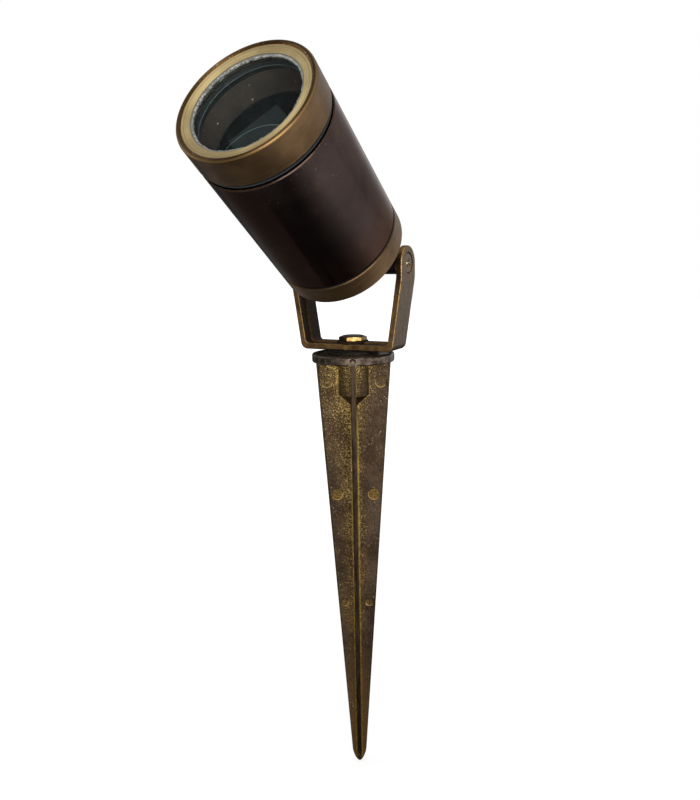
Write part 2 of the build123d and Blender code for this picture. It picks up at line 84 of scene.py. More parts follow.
def srgb(red, green, blue):
    """A linear colour from 0 to 255 screen values."""
    return tuple(((value / 255 + 0.055) / 1.055) ** 2.4 if value > 10 else value / 255 / 12.92
                 for value in (red, green, blue))


# ---- Node trees ----
class Graph:
    """A material's node tree, built with short calls that give back sockets."""

    def __init__(self, name):
        self.material = bpy.data.materials.new(name)
        self.material.use_nodes = True
        self.use(self.material.node_tree, "ShaderNodeOutputMaterial")

    @classmethod
    def of_tree(cls, tree, output):
        made = cls.__new__(cls)
        made.use(tree, output)
        return made

    def use(self, tree, output):
        self.tree = tree
        tree.nodes.clear()
        self.output = tree.nodes.new(output)

    def node(self, kind, inputs=(), **settings):
        made = self.tree.nodes.new(kind)
        for name, value in settings.items():
            setattr(made, name, value)
        for key, value in dict(inputs).items():
            self.feed(made.inputs[key], value)
        return made

    def feed(self, socket, value):
        if isinstance(value, bpy.types.NodeSocket):
            self.tree.links.new(value, socket)
        elif value is not None:
            if isinstance(value, (tuple, list)) and len(value) == 3 and socket.type == "RGBA":
                value = (*value, 1.0)
            socket.default_value = value

    # Numbers
    def math(self, operation, a, b=None, clamp=False):
        return self.node("ShaderNodeMath", {0: a, 1: b}, operation=operation, use_clamp=clamp).outputs[0]

    def chain(self, operation, values):
        """One operation over several values, from left to right."""
        result = values[0]
        for value in values[1:]:
            result = self.math(operation, result, value)
        return result

    def times(self, *values):
        return self.chain("MULTIPLY", values)

    def plus(self, *values):
        return self.chain("ADD", values)

    def most(self, *values):
        return self.chain("MAXIMUM", values)

    def minus(self, a, b):
        return self.math("SUBTRACT", a, b)

    def without(self, *values):
        """1 less the product of some values."""
        return self.minus(1.0, self.times(*values))

    def absolute(self, value):
        return self.math("ABSOLUTE", value)

    def ramp(self, value, low, high, to_low=0.0, to_high=1.0):
        """A smooth step of a value between two places."""
        made = self.node("ShaderNodeMapRange", {0: value, 1: low, 2: high, 3: to_low, 4: to_high},
                         interpolation_type="SMOOTHSTEP", clamp=True)
        return made.outputs[0]

    def band(self, value, low, high, soft):
        """1 between two places and 0 outside, with soft edges."""
        return self.times(self.ramp(value, low - soft, low + soft),
                          self.ramp(value, high - soft, high + soft, 1.0, 0.0))

    # Vectors
    def vector_math(self, operation, a, b=None):
        made = self.node("ShaderNodeVectorMath", {0: a, 1: b}, operation=operation)
        return made.outputs["Value" if operation in ("LENGTH", "DOT_PRODUCT") else "Vector"]

    def length(self, vector):
        return self.vector_math("LENGTH", vector)

    def split(self, vector):
        return self.node("ShaderNodeSeparateXYZ", {0: vector}).outputs

    def join(self, x, y, z):
        return self.node("ShaderNodeCombineXYZ", {0: x, 1: y, 2: z}).outputs[0]

    def stretched(self, vector, scale):
        return self.node("ShaderNodeMapping", {"Vector": vector, "Scale": scale}).outputs[0]

    def around(self, vector):
        """(radius, angle, height) of a point about its Z axis."""
        x, y, z = self.split(vector)
        radius = self.math("SQRT", self.plus(self.times(x, x), self.times(y, y)))
        return radius, self.math("ARCTAN2", y, x), z

    # Places on the surface
    def place(self):
        return self.node("ShaderNodeTexCoord").outputs["Object"]

    def facing(self):
        return self.node("ShaderNodeTexCoord").outputs["Normal"]

    def from_pivot(self):
        """The surface point, measured from the pivot."""
        return self.vector_math("SUBTRACT", self.place(), tuple(PIVOT))

    def from_pivot_axis(self):
        """The surface point's distance from the axis of the pivot screws."""
        return self.length(self.vector_math("MULTIPLY", self.from_pivot(), (0.0, 1.0, 1.0)))

    def head_place(self):
        """The surface point in the upright head's frame."""
        turned = self.node("ShaderNodeVectorRotate", {"Vector": self.from_pivot(), "Angle": -TILT},
                           rotation_type="X_AXIS")
        return turned.outputs[0]

    def edges(self, radius, low, high):
        """1 on edges and in corners, 0 on plain faces."""
        bevel = self.node("ShaderNodeBevel", {"Radius": radius}, samples=6).outputs[0]
        true = self.node("ShaderNodeNewGeometry").outputs["True Normal"]
        return self.ramp(self.vector_math("DOT_PRODUCT", bevel, true), low, high, 1.0, 0.0)

    def hollows(self, distance, low, high):
        """1 deep in corners and hollows, 0 in the open."""
        open_share = self.node("ShaderNodeAmbientOcclusion", {"Distance": distance}, samples=6)
        return self.ramp(open_share.outputs["AO"], low, high, 1.0, 0.0)

    # Textures and colours
    def noise(self, vector, scale, detail=2.0, roughness=0.5, distortion=0.0):
        made = self.node("ShaderNodeTexNoise", {
            "Vector": vector, "Scale": scale, "Detail": detail, "Roughness": roughness,
            "Distortion": distortion})
        return made.outputs["Fac"]

    def streaks(self, vector, scales, detail=2.0, roughness=0.5):
        """Noise with its own scale along each axis."""
        return self.noise(self.stretched(vector, scales), 1.0, detail, roughness)

    def dots(self, vector, scale):
        """The distance from the nearest of many scattered points."""
        return self.node("ShaderNodeTexVoronoi", {"Vector": vector, "Scale": scale}).outputs["Distance"]

    def mix(self, factor, a, b):
        made = self.node("ShaderNodeMix", data_type="RGBA", blend_type="MIX", clamp_factor=True)
        for name, value in (("Factor", factor), ("A", a), ("B", b)):
            self.feed(made.inputs[name], value)
        return made.outputs["Result"]

    def cover(self, color, tone, *amounts):
        """A colour covered with a tone, by the product of the amounts."""
        return self.mix(self.times(*amounts), color, tone)

    def bump(self, height, distance):
        made = self.node("ShaderNodeBump", {"Height": height, "Distance": distance, "Strength": 1.0})
        return made.outputs[0]

    def surface(self, color, roughness, metallic, normal, extra=()):
        inputs = {"Base Color": color, "Roughness": roughness, "Metallic": metallic, "Normal": normal}
        self.show(self.node("ShaderNodeBsdfPrincipled", {**inputs, **dict(extra)}))

    def show(self, shader):
        self.tree.links.new(shader.outputs[0], self.output.inputs[0])


# ---- Materials ----
# Each is named after its slot in the record. Colours are given as screen values, and the factors beside them say
# how much of a tone shows.

TURNED_LINES = 2400.0             # scale of the fine turned lines on the bezel and the cap
RING_LINES = 3200.0               # scale of the finer ones on the bare ring round the glass
RING_RADIUS = 29.2 * MM           # outside of that ring
SLOPE_RADIUS = 30.1 * MM          # outside of the slope round it
ROUNDING_RADIUS = 30.4 * MM       # inside of the rim's rounded edge
FACE_BACK = RIM - 2.4 * MM        # the front face's looks fade in between these two heights
FACE_FRONT = RIM - 2.0 * MM
RING_SHINE_ANGLE = math.radians(160.0)     # where the ring's painted bow-tie highlight is brightest


def antique_bronze():
    """Browned, turned brass of the bezel and the rear cap, with a bare turned ring round the glass that carries a
    painted bow-tie highlight and painted shade, and a painted highlight along the rim's rounded edge.
    """
    g = Graph("antique_bronze")
    point = g.head_place()
    radius, angle, height = g.around(point)
    front = g.ramp(height, FACE_BACK, FACE_FRONT)

    blotch = g.noise(point, 48.0, detail=4.0, roughness=0.55)
    turned = g.join(g.times(angle, 0.7), g.times(height, TURNED_LINES), g.times(radius, TURNED_LINES))
    lines = g.noise(turned, 1.0, detail=3.0, roughness=0.6)
    body = g.mix(g.ramp(blotch, 0.32, 0.7), srgb(88, 67, 46), srgb(124, 98, 70))
    body = g.cover(body, srgb(146, 118, 82), g.ramp(lines, 0.4, 0.85, 0.0, 0.3))
    rim_face = g.ramp(height, RIM - 0.25 * MM, RIM - 0.1 * MM)
    body = g.cover(body, srgb(104, 78, 48), rim_face, 0.5)
    # Painted highlight: a lighter line along the rim's rounded edge.
    rounding_highlight = g.times(g.band(height, RIM - 0.75 * MM, RIM - 0.2 * MM, 0.15 * MM),
                       g.ramp(radius, ROUNDING_RADIUS, ROUNDING_RADIUS + 0.4 * MM))
    body = g.cover(body, srgb(182, 144, 90), rounding_highlight, 0.6)
    slope = g.band(radius, RING_RADIUS, SLOPE_RADIUS, 0.12 * MM)
    body = g.cover(body, srgb(98, 72, 42), slope, front)
    nick = g.band(radius, RING_RADIUS - 0.25 * MM, SLOPE_RADIUS + 0.1 * MM, 0.15 * MM)
    torn = g.ramp(g.noise(point, 700.0, detail=4.0, roughness=0.75), 0.6, 0.66)
    body = g.cover(body, srgb(208, 182, 130), nick, front, torn)
    chafed = g.ramp(g.noise(point, 420.0, detail=3.0, roughness=0.6), 0.42, 0.62, 0.0, 0.75)
    less_on_cap = g.ramp(height, CAP_FRONT, TUBE_BACK, 0.35, 1.0)
    body = g.cover(body, srgb(188, 148, 88), g.edges(0.6 * MM, 0.9, 0.998), chafed, less_on_cap)

    ring = g.times(g.ramp(radius, RING_RADIUS - 0.05 * MM, RING_RADIUS + 0.1 * MM, 1.0, 0.0), front)
    circles = g.join(g.times(radius, RING_LINES), g.times(angle, 1.2), 0.0)
    groove = g.noise(circles, 1.0, detail=3.0, roughness=0.7)
    polish_and_painted_light = g.mix(g.ramp(groove, 0.25, 0.75), srgb(176, 152, 100), srgb(220, 200, 148))
    dull = g.ramp(g.noise(point, 130.0, detail=4.0, roughness=0.6), 0.35, 0.7)
    polish_and_painted_light = g.cover(polish_and_painted_light, srgb(156, 130, 84), dull, 0.35)
    # Painted highlight on two opposite sides of the ring, in a bow-tie, and painted shade between them.
    bow_tie = g.math("COSINE", g.times(g.minus(angle, RING_SHINE_ANGLE), 2.0))
    polish_and_painted_light = g.cover(polish_and_painted_light, srgb(246, 220, 158), g.ramp(bow_tie, 0.45, 1.0, 0.0, 0.6))
    polish_and_painted_light = g.cover(polish_and_painted_light, srgb(138, 120, 84), g.ramp(bow_tie, -0.2, -0.9, 0.0, 0.3))
    step = g.band(radius, RING_RADIUS - 1.15 * MM, RING_RADIUS - 0.85 * MM, 0.1 * MM)
    polish_and_painted_light = g.cover(polish_and_painted_light, srgb(112, 88, 52), step, 0.5)
    outer_step = g.ramp(radius, RING_RADIUS - 0.55 * MM, RING_RADIUS - 0.1 * MM)
    polish_and_painted_light = g.cover(polish_and_painted_light, srgb(138, 108, 62), outer_step, 0.45)

    rough = g.plus(g.times(lines, 0.16), g.plus(0.33, g.times(ring, 0.08)))
    dents = g.plus(g.times(lines, 0.35), g.times(g.noise(point, 260.0, detail=3.0), 0.5),
                   g.times(groove, ring, 0.8))
    circling = g.vector_math("CROSS_PRODUCT", tuple(ALONG), g.from_pivot())
    normal = g.node("ShaderNodeNewGeometry").outputs["Normal"]
    g.surface(g.mix(ring, body, polish_and_painted_light), rough, g.without(ring, 0.6), g.bump(dents, 0.025 * MM),
              {"Tangent": g.vector_math("CROSS_PRODUCT", normal, circling), "Anisotropic": 0.75})
    return g.material


WARM_FROM, WARM_TO = -2.7, -1.25      # angles of the tube's redder side, in radians
WALL_RADIUS = HEAD_RADIUS - 3.4 * MM  # the tube's inside lies within this radius
LIP_BACK = SPIGOT_FRONT - 4.3 * MM    # the lip behind the glass begins between these two heights
LIP_FRONT = SPIGOT_FRONT - 3.9 * MM
LIP_HIGHLIGHTS = ((1.55, 1.25, 0.6), (3.2, 2.9, 0.35))  # painted highlight lines on the lip, in mm behind its front: from, to; strength


def dark_patina():
    """Very dark brown patina of the tube: half glossy, redder at its back, bronze at its front edge, with its back
    edge painted near black as painted shade of the gap to the cap, and painted highlight lines on the lip.
    """
    g = Graph("dark_patina")
    point = g.head_place()
    radius, angle, height = g.around(point)

    cloud = g.noise(point, 30.0, detail=4.0, roughness=0.5, distortion=0.5)
    color = g.mix(g.ramp(cloud, 0.3, 0.72), srgb(54, 45, 43), srgb(73, 61, 58))
    rear = g.ramp(g.plus(height, g.times(cloud, 20.0 * MM)), TUBE_BACK + 38.0 * MM, TUBE_BACK + 4.0 * MM)
    warm = g.most(g.times(g.band(angle, WARM_FROM, WARM_TO, 0.2), 0.4), g.times(rear, 0.95))
    color = g.cover(color, srgb(72, 50, 41), warm)
    haze = g.noise(point, 75.0, detail=5.0, roughness=0.65)
    color = g.cover(color, srgb(104, 86, 78), g.ramp(haze, 0.5, 0.8, 0.0, 0.25))
    scuff = g.ramp(g.streaks(point, (500.0, 500.0, 1400.0)), 0.68, 0.74)
    near_front = g.ramp(height, TUBE_FRONT - 26.0 * MM, TUBE_FRONT - 4.0 * MM)
    color = g.cover(color, srgb(150, 132, 120), scuff, near_front, 0.6)
    worn = g.times(g.edges(0.5 * MM, 0.9, 0.998),
                   g.ramp(height, TUBE_FRONT - 1.4 * MM, TUBE_FRONT - 0.9 * MM, 0.1, 1.0))
    color = g.cover(color, srgb(122, 90, 54), worn, g.ramp(g.noise(point, 500.0), 0.35, 0.6, 0.5, 0.9))
    # Painted shade: the tube's back edge is painted near black, where the gap to the cap lies in shadow.
    joint = g.times(g.ramp(height, TUBE_BACK + 0.7 * MM, TUBE_BACK + 0.4 * MM), 0.9)
    color = g.cover(color, srgb(10, 8, 7), joint)

    inner = g.ramp(radius, WALL_RADIUS, WALL_RADIUS + 0.3 * MM, 1.0, 0.0)
    wall = g.mix(g.noise(point, 110.0, detail=4.0, roughness=0.6), srgb(82, 73, 68), srgb(108, 97, 90))
    fleck = g.ramp(g.noise(point, 900.0, detail=3.0, roughness=0.7), 0.55, 0.7, 0.0, 0.5)
    wall = g.cover(wall, srgb(136, 120, 106), fleck)
    glint = g.ramp(g.dots(point, 200.0), 0.07, 0.1, 1.0, 0.0)
    wall = g.cover(wall, srgb(235, 228, 210), glint, g.ramp(g.noise(point, 90.0), 0.5, 0.55))
    lip = g.mix(g.noise(point, 200.0, detail=3.0), srgb(36, 42, 43), srgb(50, 57, 58))
    # Painted highlight: thin bright lines round the lip.
    for back, ahead, strength in LIP_HIGHLIGHTS:
        lip_highlight = g.band(height, SPIGOT_FRONT - back * MM, SPIGOT_FRONT - ahead * MM, 0.1 * MM)
        lip = g.cover(lip, srgb(150, 160, 158), lip_highlight, strength)
    wall = g.cover(wall, lip, g.ramp(height, LIP_BACK, LIP_FRONT))

    rough = g.ramp(g.noise(point, 110.0, detail=4.0, roughness=0.6), 0.3, 0.75, 0.12, 0.2)
    rough = g.plus(rough, g.times(inner, 0.42), g.times(g.most(joint, worn), 0.5))
    grain = g.noise(point, 500.0, detail=3.0, roughness=0.6)
    metal = g.without(g.most(inner, worn), 0.7)
    g.surface(g.mix(inner, color, wall), rough, metal, g.bump(grain, 0.006 * MM),
              {"Specular Tint": (0.6, 0.57, 0.56)})
    return g.material


BOSS_RADIUS = 8.3 * MM            # the yoke's boss round the bolt
EAR_RADIUS = 8.2 * MM             # the yoke's round ears
EAR_RIM = 1.4 * MM                # width of the browner band round them
YOKE_DISC_HEIGHT = 7.9 * MM       # the small round mark on the front of the yoke's foot
YOKE_DISC_RADIUS = 1.35 * MM


def cast_bronze():
    """The yoke's casting: grey-brown outside; dark inside, on its top faces and round the bolt as painted shade;
    lighter bronze on narrow faces as painted light; bright where worn, and brighter on right- and front-facing
    corners as painted highlight.
    """
    g = Graph("cast_bronze")
    point = g.place()
    x, _, z = g.split(point)
    across, ahead, up = g.split(g.facing())
    narrow = g.ramp(g.absolute(ahead), 0.55, 0.9)
    inward = g.ramp(g.times(across, g.math("SIGN", x)), -0.3, -0.8)
    upward = g.ramp(up, 0.5, 0.8)
    boss = g.ramp(g.around(point)[0], BOSS_RADIUS + 0.5 * MM, BOSS_RADIUS)
    streak = g.streaks(point, (900.0, 900.0, 70.0), detail=3.0, roughness=0.6)
    grain = g.noise(point, 800.0, detail=4.0, roughness=0.65)

    side = g.mix(g.ramp(streak, 0.3, 0.75), srgb(82, 68, 52), srgb(106, 91, 72))
    side = g.cover(side, srgb(98, 74, 50), g.ramp(z, 28.0 * MM, 50.0 * MM, 0.0, 0.5))
    ear = g.ramp(g.from_pivot_axis(), EAR_RADIUS - EAR_RIM, EAR_RADIUS)
    rounded = g.ramp(z, PIVOT.z - 4.0 * MM, PIVOT.z + 1.0 * MM)
    side = g.cover(side, srgb(122, 92, 54), ear, rounded, 0.8)
    # Painted shade: the faces turned in between the arms are painted dark.
    side = g.cover(side, srgb(40, 28, 19), inward)
    mottle = g.noise(point, 190.0, detail=4.0, roughness=0.6)
    # Painted light: the narrow faces are painted a lighter bronze than the sides, and darker towards the top as
    # painted shade.
    bronze = g.mix(g.ramp(mottle, 0.3, 0.7), srgb(106, 80, 52), srgb(148, 116, 76))
    bronze = g.cover(bronze, srgb(62, 45, 32), g.ramp(z, 24.0 * MM, 46.0 * MM, 0.0, 0.8))
    color = g.mix(narrow, side, bronze)
    # Painted shade: the faces turned upwards and the boss round the bolt are painted dark.
    color = g.cover(color, srgb(50, 36, 24), g.most(upward, boss))
    from_disc = g.length(g.join(x, 0.0, g.minus(z, YOKE_DISC_HEIGHT)))
    disc = g.ramp(from_disc, YOKE_DISC_RADIUS - 0.2 * MM, YOKE_DISC_RADIUS, 1.0, 0.0)
    color = g.cover(color, srgb(160, 130, 66), disc, narrow, 0.8)

    # The gold on the edges and corners is partly edge wear and partly painted highlight: it is painted brighter on
    # corners facing right and on faces turned to the front.
    sideways = g.math("SQRT", g.math("SUBTRACT", 1.0, g.times(ahead, ahead), clamp=True))
    corner = g.ramp(g.absolute(g.times(ahead, sideways)), 0.2, 0.42)
    corner = g.times(corner, g.ramp(across, -0.3, 0.4, 0.25, 1.0))
    bare = g.times(g.without(boss), g.without(inward, 0.8))
    worn = g.times(g.most(corner, g.edges(0.3 * MM, 0.88, 0.995)), bare, 0.9)
    jagged = g.ramp(g.noise(point, 480.0, detail=4.0, roughness=0.75), 0.36, 0.52)
    less_behind = g.ramp(ahead, 0.1, -0.1, 0.35, 1.0)
    gold = g.mix(g.ramp(z, 25.0 * MM, 50.0 * MM), srgb(172, 136, 88), srgb(206, 164, 104))
    color = g.cover(color, gold, worn, jagged, less_behind)

    # The painted-shade faces are also made rougher and less reflective.
    dull = g.most(inward, g.most(upward, boss))
    rough = g.plus(g.ramp(grain, 0.2, 0.8, 0.34, 0.55), g.times(dull, 0.25))
    g.surface(color, rough, g.without(dull, 0.6), g.bump(g.plus(grain, g.times(streak, 0.4)), 0.05 * MM),
              {"Specular IOR Level": g.minus(0.5, g.times(dull, 0.4))})
    return g.material


SPIKE_TURN = math.radians(26.0)
FIN_HALF_WIDTH = 19.5 * MM        # from the spike's axis to a fin's edge, at the flange
FIN_TAPER = math.tan(math.radians(4.0))
FIN_ROOT = 2.0 * MM               # where a fin's face meets the next fin's
TIP_HALF_WIDTH = 2.0 * MM         # the least half width, near the tip
FLANGE_TOP = 4.2 * MM
FLANGE_TOP_RADIUS = 20.2 * MM     # of the top face, painted dark as painted shade
ARCH_HEIGHT = 2.1 * MM            # middle of the arch on the flange
# Round marks on the fins, in mm: height, distance from the fin's edge, radius, and how much of the
# mark's inside and how much of its bright lower rim shows.
FIN_MARKS = ((-11.0, 4.6, 3.0, 0.12, 0.5), (-72.0, 4.6, 3.0, 0.5, 0.85), (-134.0, 3.5, 2.0, 0.3, 1.0))


def fin_marks(g, color, aside, y, z, grain):
    """The fins' colour with its round marks, each lit from below and shaded above."""
    front = g.ramp(y, 0.0, -1.0 * MM)
    for height, margin, radius, fill, shine in FIN_MARKS:
        height, margin, radius = height * MM, margin * MM, radius * MM
        across = g.minus(aside, FIN_HALF_WIDTH + height * FIN_TAPER - margin)
        away = g.length(g.join(across, 0.0, g.minus(z, height)))
        inside = g.ramp(away, radius - 0.2 * MM, radius, fill, 0.0)
        tone = g.mix(g.ramp(grain, 0.4, 0.6), srgb(100, 76, 36), srgb(170, 134, 64))
        color = g.cover(color, tone, inside, front)
        lower = g.minus(g.minus(height, z), g.times(across, 0.5))
        wide_rim = g.band(away, radius - 0.35 * MM, radius + 0.35 * MM, 0.15 * MM)
        shade = g.ramp(lower, 0.5 * radius, -0.3 * radius, 0.0, 0.95)
        color = g.cover(color, srgb(24, 18, 13), wide_rim, front, shade)
        rim = g.band(away, radius - 0.3 * MM, radius + 0.05 * MM, 0.1 * MM)
        glint = g.ramp(lower, -0.1 * radius, 0.9 * radius, 0.2 * shine, shine)
        color = g.cover(color, srgb(222, 188, 108), rim, front, glint)
    return color


def flange_color(g, point, x, y, z, top):
    """The flange: mottled grey-brown with scratches, an arch over the front fin and a top painted dark as painted
    shade.
    """
    mottle = g.ramp(g.noise(point, 240.0, detail=4.0, roughness=0.6), 0.35, 0.65)
    color = g.mix(mottle, srgb(66, 56, 48), srgb(124, 110, 95))
    scratch = g.ramp(g.streaks(point, (200.0, 200.0, 2200.0), detail=3.0), 0.6, 0.7)
    color = g.cover(color, srgb(160, 146, 128), scratch, 0.35)
    crown = g.length(g.join(x, 0.0, g.minus(z, ARCH_HEIGHT)))
    crown = g.plus(crown, g.ramp(y, -10.0 * MM, 0.0, 0.0, 20.0 * MM))
    upper = g.ramp(z, 1.4 * MM, 2.6 * MM, 0.15, 1.0)
    groove = g.band(crown, 0.8 * MM, 1.75 * MM, 0.2 * MM)
    color = g.cover(color, srgb(26, 21, 18), groove, g.times(upper, 0.95))
    ridge = g.band(crown, 1.85 * MM, 2.25 * MM, 0.12 * MM)
    color = g.cover(color, srgb(150, 132, 110), ridge, g.times(upper, 0.35))
    # Painted shade on the top face.
    return g.cover(color, srgb(44, 36, 30), top, 0.85)


def spike_casting():
    """Grainy sand casting: dark brown in the open, brassy yellow in its corners and towards the top."""
    g = Graph("spike_casting")
    point = g.place()
    turned = g.node("ShaderNodeVectorRotate", {"Vector": point, "Angle": -SPIKE_TURN},
                    rotation_type="Z_AXIS").outputs[0]
    x, y, z = g.split(turned)
    aside = g.absolute(x)
    across = g.most(aside, g.absolute(y))
    rim = g.plus(FIN_HALF_WIDTH, g.times(z, FIN_TAPER))
    share = g.math("DIVIDE", across, g.most(rim, TIP_HALF_WIDTH))
    fins = g.ramp(z, -0.4 * MM, 0.1 * MM, 1.0, 0.0)
    edge_face = g.times(g.ramp(share, 0.93, 0.965), fins)
    open_field = g.without(edge_face)
    patch = g.noise(point, 60.0, detail=4.0, roughness=0.6)
    grain = g.noise(point, 1400.0, detail=4.0, roughness=0.75)
    coarse = g.noise(point, 700.0, detail=3.0, roughness=0.6)
    hollow = g.hollows(9.0 * MM, 0.5, 0.85)
    root = g.hollows(1.3 * MM, 0.5, 0.72)

    # How yellow the fins are: in hollows, towards the top, near the axis, to the left and in patches.
    rich = g.plus(g.times(hollow, 0.5), g.ramp(z, -60.0 * MM, 0.0, 0.0, 0.3),
                  g.ramp(share, 0.2, 0.9, 0.15, -0.15), g.ramp(x, 8.0 * MM, -6.0 * MM, -0.12, 0.25))
    rich = g.math("ADD", rich, g.times(g.minus(patch, 0.5), 1.6), clamp=True)
    color = g.mix(g.ramp(patch, 0.35, 0.65), srgb(74, 59, 46), srgb(98, 81, 66))
    color = g.cover(color, srgb(108, 84, 42), rich, 0.7)
    color = g.cover(color, srgb(140, 106, 64), g.ramp(z, -150.0 * MM, -215.0 * MM, 0.0, 0.7))
    color = g.cover(color, srgb(36, 27, 20), g.ramp(grain, 0.46, 0.36, 0.0, 0.8))
    speck = g.ramp(g.plus(grain, g.times(rich, 0.1)), 0.59, 0.68)
    fewer_below = g.ramp(z, -90.0 * MM, -170.0 * MM, 1.0, 0.2)
    color = g.cover(color, srgb(236, 202, 126), speck, g.plus(0.25, g.times(rich, 0.75)), fewer_below)

    # Bright lines: along the roots of the fins, under the flange and in the tightest corners.
    line = g.times(g.ramp(across, FIN_ROOT + 0.35 * MM, FIN_ROOT - 0.25 * MM),
                   g.ramp(z, -22.0 * MM, -40.0 * MM, 0.0, 0.85))
    under = g.times(g.ramp(z, -1.9 * MM, -1.1 * MM), g.ramp(share, 0.9, 0.86))
    line = g.times(g.most(line, g.times(under, 0.8), root), g.ramp(coarse, 0.36, 0.6, 0.35, 1.0))
    yellow = g.mix(g.ramp(z, -40.0 * MM, -200.0 * MM), srgb(214, 184, 96), srgb(176, 138, 66))
    color = g.cover(color, yellow, line)
    color = fin_marks(g, color, aside, y, z, grain)
    # Painted highlights: small bright sparkles scattered over the open faces.
    spark = g.times(g.ramp(g.dots(point, 620.0), 0.05, 0.17, 1.0, 0.0),
                    g.ramp(g.noise(point, 150.0), 0.49, 0.57))
    color = g.cover(color, srgb(236, 214, 158), spark, open_field)

    # The flange's top face, painted dark as painted shade in flange_color and made rougher.
    top = g.times(g.ramp(z, FLANGE_TOP - 1.0 * MM, FLANGE_TOP),
                  g.ramp(g.around(point)[0], FLANGE_TOP_RADIUS + 0.7 * MM, FLANGE_TOP_RADIUS))
    color = g.mix(fins, flange_color(g, point, x, y, z, top), color)
    edge_streak = g.ramp(g.streaks(point, (900.0, 900.0, 90.0), detail=3.0), 0.3, 0.7)
    color = g.cover(color, g.mix(edge_streak, srgb(54, 44, 36), srgb(86, 70, 57)), edge_face)
    worn = g.times(g.edges(0.45 * MM, 0.85, 0.99),
                   g.ramp(g.noise(point, 520.0, detail=3.0), 0.44, 0.6, 0.0, 0.85))
    color = g.cover(color, srgb(176, 150, 100), worn, g.without(hollow, 0.5))

    rough = g.plus(g.ramp(grain, 0.3, 0.7, 0.5, 0.3), g.times(top, 0.3))
    pits = g.plus(grain, g.times(coarse, 0.6))
    pits = g.times(pits, g.most(0.12, g.times(fins, open_field)))
    g.surface(color, rough, 1.0, g.bump(pits, 0.3 * MM))
    return g.material


BRIGHT_FACET = (0.34, -0.94, 0.0)      # the way that the lit facet faces; faces turned from it are painted darker as painted shade


def plain_brass():
    """Tarnished brass with painted light and shade: bright where it faces as the bolt head's front facet does, and
    dark elsewhere and on its top faces.
    """
    g = Graph("plain_brass")
    point = g.place()
    tarnish = g.noise(point, 260.0, detail=4.0, roughness=0.6)
    scratch = g.streaks(point, (300.0, 300.0, 4000.0))
    color = g.mix(g.ramp(tarnish, 0.35, 0.65), srgb(150, 118, 66), srgb(206, 176, 110))
    # Painted shade on the faces turned away from the lit facet, and on the top faces.
    turned_away_shade = g.ramp(g.vector_math("DOT_PRODUCT", g.facing(), BRIGHT_FACET), 0.96, 0.88, 0.0, 0.8)
    color = g.cover(color, srgb(74, 58, 36), turned_away_shade)
    shaded_top = g.ramp(g.split(g.facing())[2], 0.3, 0.6)
    color = g.cover(color, srgb(58, 46, 32), shaded_top, 0.9)
    rough = g.plus(g.ramp(scratch, 0.2, 0.8, 0.22, 0.36), g.times(shaded_top, 0.3))
    g.surface(color, rough, 1.0, g.bump(scratch, 0.02 * MM))
    return g.material


SCREW_FACE = 30.9 * MM            # from the middle of the head out to the screw heads' faces
RECESS_RADIUS = 3.1 * MM


def dark_screw():
    """Browned screw heads with painted highlights: bright inside their cross recess, and one painted glint."""
    g = Graph("dark_screw")
    recess = g.ramp(g.absolute(g.split(g.place())[0]), SCREW_FACE, SCREW_FACE - 0.4 * MM)
    inside = g.ramp(g.from_pivot_axis(), RECESS_RADIUS - 0.2 * MM, RECESS_RADIUS, 1.0, 0.0)
    grain = g.noise(g.place(), 800.0, detail=3.0)
    color = g.mix(grain, srgb(78, 62, 48), srgb(110, 92, 70))
    # Painted highlights: the cross recess is painted bright, and a glint is painted as a short bar across the
    # head.
    color = g.cover(color, srgb(224, 196, 124), recess, inside)
    _, behind, above = g.split(g.from_pivot())
    glint = g.times(g.band(above, -0.45 * MM, 0.35 * MM, 0.15 * MM),
                    g.band(behind, -2.3 * MM, 1.1 * MM, 0.3 * MM))
    color = g.cover(color, srgb(255, 244, 206), glint)
    color = g.cover(color, srgb(176, 142, 88), g.edges(0.35 * MM, 0.85, 0.99), 0.5)
    g.surface(color, g.ramp(grain, 0.2, 0.8, 0.3, 0.45), g.without(glint), g.bump(grain, 0.02 * MM))
    return g.material


GASKET_RADIUS = 28.0 * MM         # the gasket behind the glass lies within this, the O-ring outside it
ORING_MIDDLE = (TUBE_FRONT + BEZEL_BACK) / 2


def black_rubber():
    """Matt black rubber, dusty, with a paler painted highlight on the crown of the front O-ring, and browner
    behind the glass.
    """
    g = Graph("black_rubber")
    grain = g.noise(g.place(), 1200.0, detail=3.0)
    dust = g.noise(g.place(), 140.0, detail=4.0, roughness=0.6)
    radius, _, height = g.around(g.head_place())
    color = g.mix(g.ramp(dust, 0.4, 0.75), srgb(16, 17, 18), srgb(32, 33, 34))
    within = g.ramp(radius, GASKET_RADIUS, GASKET_RADIUS - 1.0 * MM)
    behind_glass = g.ramp(height, SPIGOT_FRONT - 1.0 * MM, SPIGOT_FRONT)
    color = g.cover(color, srgb(64, 58, 50), within, behind_glass)
    # Painted highlight: a paler band along the crown of the front O-ring.
    crown = g.band(height, ORING_MIDDLE - 0.3 * MM, ORING_MIDDLE + 0.35 * MM, 0.15 * MM)
    outside = g.ramp(radius, GASKET_RADIUS, GASKET_RADIUS + 0.5 * MM)
    color = g.cover(color, srgb(62, 65, 68), crown, outside, 0.8)
    g.surface(color, g.ramp(grain, 0.2, 0.8, 0.5, 0.7), 0.0, g.bump(grain, 0.02 * MM),
              {"Specular IOR Level": 0.12})
    return g.material


